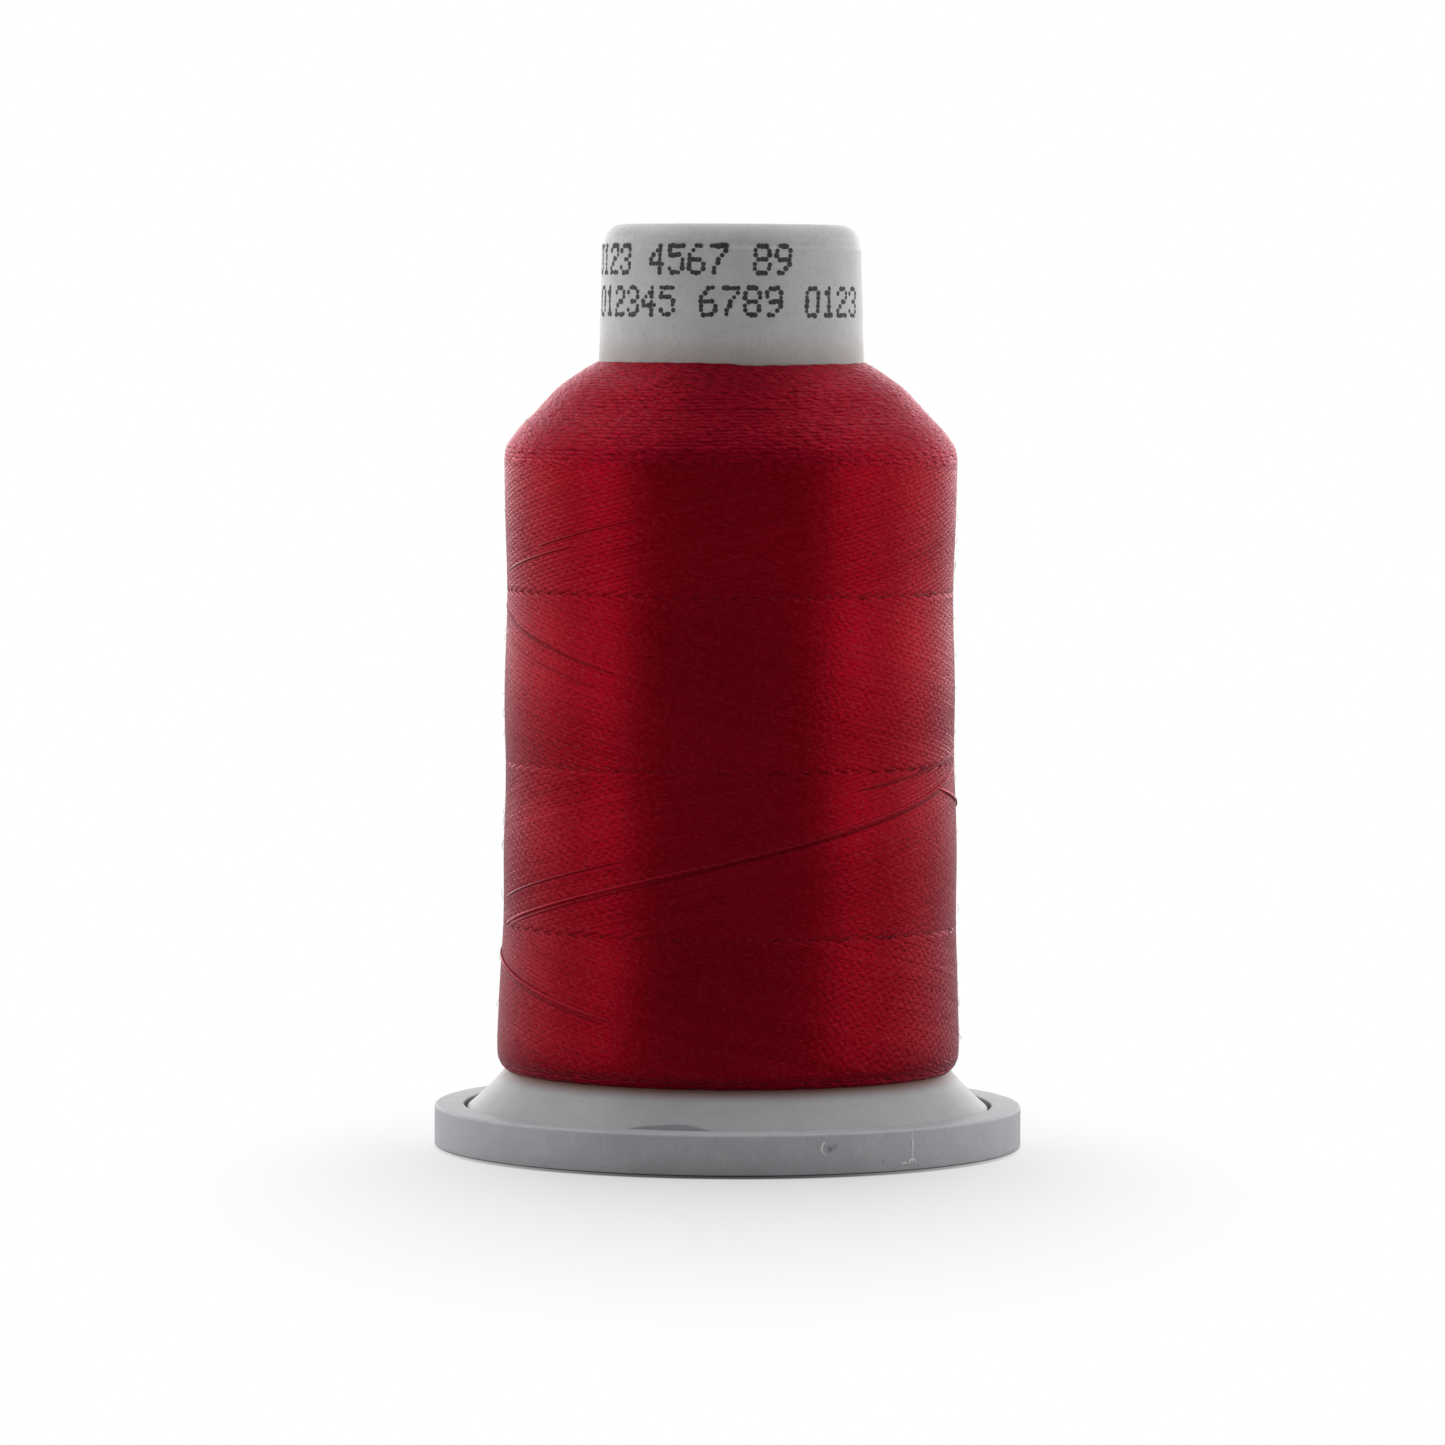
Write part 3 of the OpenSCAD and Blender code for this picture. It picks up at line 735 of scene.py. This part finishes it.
def makeTurnShade():
    m = turnShade
    rng = np.random.default_rng(m["seed"])
    t = np.linspace(0, 1, int(math.tau * winding["middleR"] / m["step"]))
    x = t * math.tau * winding["middleR"]
    clear = (0.5 + 0.5 * np.cos(t * math.tau - m["clearAt"])) ** 4  # the painted shade shows most on one side
    paths = []
    for height in m["heights"]:
        zigzag = np.abs(((x + waves(rng, x, (3, 7), 0.25)) / m["period"]) % 1 - 0.5) * 4 - 1
        along = atHeight(height) + zigzag * m["swing"] + waves(rng, x, (9, 21), 0.1)
        lift = m["rise"] * clear - m["sink"] + waves(rng, x, (2.3, 6.0, 14.0), m["waver"])
        paths.append({"angle": t * math.tau, "along": along, "lift": lift, "wide": m["wide"],
                      "tall": m["tall"], "tone": -m["tone"] - m["clear"] * clear})
    layStrands("threadRingShade", paths, m["laySeed"])


makeTurnShade()
print("turn marks made")


# level rows on the shoulder and at the foot, which rise from under the band next to them

rows = {"rings": 340, "sides": 6, "overlap": 1.03, "wobble": 0.06, "ripple": 0.018,
        "under": 0.12, "tuck": 0.2, "ends": 80, "thin": 0.3,
        "pieces": [  # heights between which the rows lie, and between which they come out from under the band
            {"name": "threadShoulderA", "between": (61.2, winding["top"]), "rise": (61.4, 64.3), "climb": 0.4,
             "spacing": 0.42, "drop": 0.06, "tall": 5.0, "seed": 31, "stands": ["thread_outer_layer"]},
            {"name": "threadShoulderB", "between": (61.2, winding["top"]), "rise": (61.4, 64.3), "climb": 0.8,
             "spacing": 0.46, "drop": 0.075, "tall": 5.0, "seed": 47, "stands": []},
            {"name": "threadFootRows", "between": (0.0, 9.4), "rise": (8.3, 7.3), "climb": 0.15,
             "spacing": 0.36, "drop": 0.08, "tall": 2.0, "seed": 53, "stands": []}]}


def makeRows(spec):
    rng = np.random.default_rng(spec["seed"])
    low, high = (atHeight(z) for z in spec["between"])
    hidden, out = (atHeight(z) for z in spec["rise"])
    t = np.linspace(0, 1, rows["rings"])
    paths = []
    for i in range(int((high - low) / spec["spacing"])):
        start = rng.uniform(0, math.tau)
        base = low + (i + 0.5) * spec["spacing"]
        x = t * math.tau * float(np.interp(base, outlineS, outlineRZ[:, 0]))
        swing = spec["climb"] * np.sin(t * math.tau + start + spec["seed"])
        along = base + swing + waves(rng, x, (2.2, 3.6, 12), rows["wobble"])
        along = np.clip(along, 0.3, outlineS[-1] - 0.05)
        shown = np.clip((along - hidden) / (out - hidden), 0, 1)
        ends = np.clip(np.minimum(t, 1 - t) * rows["ends"], 0, 1)
        lift = (waves(rng, x, (1.7, 2.9, 4.6), rows["ripple"]) - spec["drop"]
                - rows["under"] * (1 - shown) - rows["tuck"] * (1 - ends))
        tall = spec["tall"] * (rows["thin"] + (1 - rows["thin"]) * shown)
        tone = rng.uniform(-winding["toneSpread"], winding["toneSpread"])
        paths.append({"angle": start + math.tau * rows["overlap"] * t, "along": along, "lift": lift,
                      "tall": tall, "tone": tone})
    layStrands(spec["name"], paths, spec["seed"], spec["stands"], threadLoose, rows["sides"])


for spec in rows["pieces"]:
    makeRows(spec)
print("rows made")


# plain dotted numbers on the neck

printing = {
    "rows": [("0123 4567 89", -86.0, 81.35), ("012345 6789 0123", -80.0, 77.55)],  # signs, angle, height
    "pitch": 2.0, "height": 2.4, "width": 1.3, "dotR": 0.265, "thick": 0.03,
    "jitter": 0.03, "spread": (0.75, 1.1), "seed": 12,
    "patterns": {  # seven rows of five dots, one bit for each dot
        "0": (14, 17, 17, 17, 17, 17, 14), "1": (4, 12, 4, 4, 4, 4, 14), "2": (14, 17, 1, 6, 8, 16, 31),
        "3": (14, 17, 1, 6, 1, 17, 14), "4": (2, 6, 10, 18, 31, 2, 2), "5": (31, 16, 30, 1, 1, 17, 14),
        "6": (6, 8, 16, 30, 17, 17, 14), "7": (31, 1, 2, 4, 4, 8, 8), "8": (14, 17, 17, 14, 17, 17, 14),
        "9": (14, 17, 17, 15, 1, 2, 12)}}


def addDot(bm, turn, z, size):
    out = Vector((math.sin(turn), -math.cos(turn), 0))
    spot = Matrix.Translation(out * barrelR(z) * mm + Vector((0, 0, z * mm)))
    facing = (out + Vector((0, 0, draftSlope))).normalized().to_track_quat("Z", "Y").to_matrix().to_4x4()
    bmesh.ops.create_cone(bm, cap_ends=True, segments=10, radius1=size * mm, radius2=size * 0.9 * mm,
                          depth=printing["thick"] * mm, matrix=spot @ facing)


def makeNumbers():
    p = printing
    rng = random.Random(p["seed"])
    bm = bmesh.new()
    for text, start, middle in p["rows"]:
        for place, sign in enumerate(text):
            for row, bits in enumerate(p["patterns"].get(sign, ())):
                for column in range(5):
                    if not bits >> (4 - column) & 1:
                        continue
                    z = middle + p["height"] * (0.5 - row / 6) + rng.gauss(0, p["jitter"])
                    x = place * p["pitch"] + p["width"] * column / 4 + rng.gauss(0, p["jitter"])
                    addDot(bm, math.radians(start) + x / barrelR(z), z, p["dotR"] * rng.uniform(*p["spread"]))
    addObject("neckNumbers", bm, inkBlack, "spool")


makeNumbers()
print("numbers made")


# strands that stand out of the layer; a pale tone paints a highlight on a raised strand, and the dark-toned
# strands are painted shadow lines

strayLook = {"rings": 90, "wide": 0.5, "tall": 3.6, "sink": 0.05, "tuck": 0.14, "ends": 7, "laySeed": 71}
strays = [  # angle and height at both ends in degrees from the front, lift, tone, and how the tone fades
    {"from": (-92, 19.4), "to": (96, 36.2), "lift": 0.05, "tone": 0.2},
    {"from": (96, 35.8), "to": (-92, 19.0), "lift": -0.03, "tone": -0.7, "fade": 0.8},
    {"from": (-86, 22.4), "to": (-22, 27.9), "lift": -0.02, "tone": -0.8, "fade": 1},
    {"from": (-98, 50.6), "to": (-24, 43.6), "lift": 0.0, "tone": -1.0, "fade": 1},
    {"from": (-90, 47.9), "to": (-30, 42.4), "lift": -0.02, "tone": -0.4, "fade": 1},
    {"from": (-98, 18.6), "to": (-26, 12.6), "lift": 0.07, "tone": 0.3},
    {"from": (-98, 18.1), "to": (-26, 12.2), "lift": -0.02, "tone": -0.9, "fade": 1},
    {"from": (-84, 52.6), "to": (-40, 55.8), "lift": -0.01, "tone": -0.8, "fade": 1},
    {"from": (-62, 55.0), "to": (-18, 58.6), "lift": -0.02, "tone": -0.5, "fade": 1},
    {"from": (28, 33.4), "to": (94, 37.2), "lift": -0.01, "tone": -0.4},
    {"from": (62, 33.8), "to": (130, 28.4), "lift": 0.09, "tone": 0.3},
    {"from": (140, 44.0), "to": (230, 51.0), "lift": 0.05, "tone": 0.3},
    {"from": (150, 33.0), "to": (235, 25.6), "lift": 0.05, "tone": 0.3}]


def makeStrays():
    k = strayLook
    t = np.linspace(0, 1, k["rings"])
    ends = np.clip(np.minimum(t, 1 - t) * k["ends"], 0, 1)
    paths = []
    for stray in strays:
        (a0, z0), (a1, z1) = stray["from"], stray["to"]
        paths.append({"angle": np.radians(a0 + (a1 - a0) * t),
                      "along": atHeight(z0) + (atHeight(z1) - atHeight(z0)) * t,
                      "lift": stray["lift"] * ends - k["sink"] - k["tuck"] * (1 - ends),
                      "wide": k["wide"], "tall": k["tall"],
                      "tone": stray["tone"] * (1 - stray.get("fade", 0) * t) * ends})
    layStrands("threadStrays", paths, k["laySeed"])


makeStrays()
print("stray strands made")


# tiny loose fibres on the winding, their pale tone a painted highlight

fuzz = {"count": 600, "r": 0.013, "long": (0.3, 1.1), "rings": 8, "bend": 0.6, "lift": (0.02, 0.2),
        "tone": (0.1, 0.9), "aboutR": 20,  # the winding's radius, near enough
        "seed": 17, "laySeed": 19}


def makeFuzz():
    rng = np.random.default_rng(fuzz["seed"])
    t = np.linspace(0, 1, fuzz["rings"])
    paths = []
    for _ in range(fuzz["count"]):
        a, s = rng.uniform(0, math.tau), rng.uniform(0.5, outlineS[-1] - 0.5)
        long = rng.uniform(*fuzz["long"])
        way = rng.uniform(0, math.tau) + rng.uniform(-fuzz["bend"], fuzz["bend"]) * t
        angle = a + np.cos(way) * long * t / fuzz["aboutR"]
        along = np.clip(s + np.sin(way) * long * t, 0.02, outlineS[-1] - 0.02)
        lift = rng.uniform(*fuzz["lift"]) * np.sin(t * math.pi * rng.uniform(0.5, 1.0)) - 0.01
        paths.append({"angle": angle, "along": along, "lift": lift, "wide": fuzz["r"] / winding["strandW"],
                      "tall": fuzz["r"] / winding["strandH"], "tone": rng.uniform(*fuzz["tone"])})
    layStrands("threadFuzz", paths, fuzz["laySeed"])


makeFuzz()
print("fuzz made")


# camera, lamps, world and table; lengths in mm, angles in degrees

view = {"place": (-0.65, -700.0, 77.2), "pitch": 3.133, "roll": 0.2935, "lens": 189.86, "sensor": 36.0}


def makeCamera():
    pitch, roll = math.radians(view["pitch"]), math.radians(view["roll"])
    ahead = Vector((0, math.cos(pitch), -math.sin(pitch)))
    level = Vector((1, 0, 0))
    up = Vector((0, math.sin(pitch), math.cos(pitch)))
    right = math.cos(roll) * level + math.sin(roll) * up
    top = -math.sin(roll) * level + math.cos(roll) * up
    data = bpy.data.cameras.new("camera")
    data.lens = view["lens"]
    data.sensor_width = view["sensor"]
    data.clip_end = 20
    camera = bpy.data.objects.new("camera", data)
    turned = Matrix((right, top, -ahead)).transposed().to_4x4()
    turned.translation = Vector(view["place"]) * mm
    camera.matrix_world = turned
    scene.collection.objects.link(camera)
    scene.camera = camera


lampAim = 40  # height that all the lamps point at
lamps = {  # azimuth from the camera axis, distance, height, size in mm, and how bright the panel looks
    "left": {"azimuth": -86, "away": 560, "height": 190, "size": (720, 480), "glow": 1.06},
    "right": {"azimuth": 86, "away": 560, "height": 190, "size": (720, 480), "glow": 1.06},
    "frontLeft": {"azimuth": -62, "away": 560, "height": 110, "size": (300, 220), "glow": 0.67},
    "frontRight": {"azimuth": 62, "away": 560, "height": 110, "size": (300, 220), "glow": 0.67},
    "upperLeft": {"azimuth": -94, "away": 400, "height": 600, "size": (640, 200), "glow": 1.63},
    "upperRight": {"azimuth": 94, "away": 400, "height": 600, "size": (640, 200), "glow": 1.63},
    "back": {"azimuth": 180, "away": 380, "height": 520, "size": (800, 500), "glow": 0.86}}


def makeLamps():
    for name, spec in lamps.items():
        data = bpy.data.lights.new(name, "AREA")
        data.shape = "RECTANGLE"
        data.size, data.size_y = (v * mm for v in spec["size"])
        data.energy = math.pi * data.size * data.size_y * spec["glow"]
        lamp = bpy.data.objects.new(name, data)
        turn = math.radians(spec["azimuth"])
        away = spec["away"]
        lamp.location = Vector((math.sin(turn) * away, -math.cos(turn) * away, spec["height"])) * mm
        aim = Vector((0, 0, lampAim * mm)) - lamp.location
        lamp.rotation_euler = aim.to_track_quat("-Z", "Y").to_euler()
        lamp.visible_camera = False
        scene.collection.objects.link(lamp)


surround = {"front": 0.193, "backdrop": 2.76, "above": 0.08, "ceiling": 0.43,
            "backdropFrom": (-0.2, 0.95), "aboveFrom": (0.12, 0.55), "ceilingFrom": (0.55, 1.0)}


def makeWorld():
    world = bpy.data.worlds.new("studio")
    scene.world = world
    world.use_nodes = True
    s = Shader("studio", world.node_tree)
    way = s.node("ShaderNodeTexCoord")
    behind = s.axis(way, 1).ramp(*surround["backdropFrom"])
    rise = s.axis(way, 2)
    high = rise.ramp(*surround["aboveFrom"])
    glow = behind * ((1 - high) * surround["backdrop"] + high * surround["above"])
    glow = glow + rise.ramp(*surround["ceilingFrom"]) * surround["ceiling"] + surround["front"]
    seen = s.node("ShaderNodeLightPath")  # the camera sees plain white
    strength = seen + (1 - seen) * glow
    sky = s.node("ShaderNodeBackground", {}, {"Color": greyOf(1), "Strength": strength})
    s.finish(sky, "ShaderNodeOutputWorld")


table = {"size": 6000, "paint": 0.93, "bounce": 0.45,  # how white it looks, and how much light it gives back
         "plain": (10, 110), "narrow": 2.0, "forward": 40,  # where it turns plain white
         "contact": (26.0, 27.2), "contactAt": (0.0, -2.4, 0.0), "contactShade": 0.12}  # shade under the rim


def makeTable():
    bm = bmesh.new()
    bmesh.ops.create_grid(bm, x_segments=1, y_segments=1, size=table["size"] / 2 * mm)
    mesh = bpy.data.meshes.new("floor")
    bm.to_mesh(mesh)
    bm.free()
    s = Shader("whiteTable")
    seen = s.node("ShaderNodeLightPath")
    place = s.place()
    oval = s.mapped(place, (table["narrow"], 1.0, 1.0), moved=(0.0, table["forward"] * mm, 0.0))
    far = s.distance(oval).ramp(*(v * mm for v in table["plain"]))
    near = s.distance(place, [v * mm for v in table["contactAt"]]).ramp(*(v * mm for v in table["contact"]))
    shade = seen * (table["paint"] - table["bounce"]) + table["bounce"]
    shade = shade * (near * (1 - table["contactShade"]) + table["contactShade"])
    tint = s.mixColour(shade, greyOf(0), greyOf(1))
    paint = s.node("ShaderNodeBsdfPrincipled", {}, {"Base Color": tint, "Roughness": 1.0,
                                                    "Specular IOR Level": 0.0})
    glow = s.node("ShaderNodeEmission", {}, {"Color": greyOf(1), "Strength": 1.0})
    mesh.materials.append(s.finish(s.node("ShaderNodeMixShader", {}, {0: seen * far, 1: paint, 2: glow})))
    floor = bpy.data.objects.new("floor", mesh)
    scene.collection.objects.link(floor)


makeCamera()
makeLamps()
makeWorld()
makeTable()
print("stage set")
